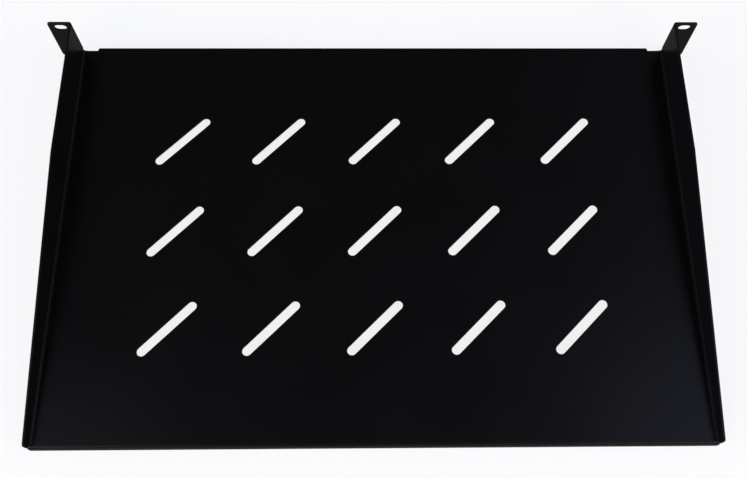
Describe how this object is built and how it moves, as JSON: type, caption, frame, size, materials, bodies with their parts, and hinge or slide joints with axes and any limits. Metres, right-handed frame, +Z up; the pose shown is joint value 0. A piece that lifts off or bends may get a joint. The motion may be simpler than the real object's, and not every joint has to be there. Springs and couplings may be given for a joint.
{
  "type": "cantilever rack shelf",
  "caption": "Shallow folded sheet-metal rack shelf with tapered side walls, slotted front ears and diagonal vent slots through its deck.",
  "frame": {"origin": "on the floor plane, below the middle of the footprint: the lowest edges of the lips and ears are at Z = 0", "axes": "+Y towards the front, where the ears bolt to the rack; +Z up; +X across the shelf to the right, seen from behind with the ears far away"},
  "size_m": [0.4826, 0.302, 0.0436],
  "materials": {
    "powder_coat": "black satin powder coat with a fine texture"
  },
  "bodies": {
    "root": {"shelf": "powder_coat"}
  },
  "joints": []
}
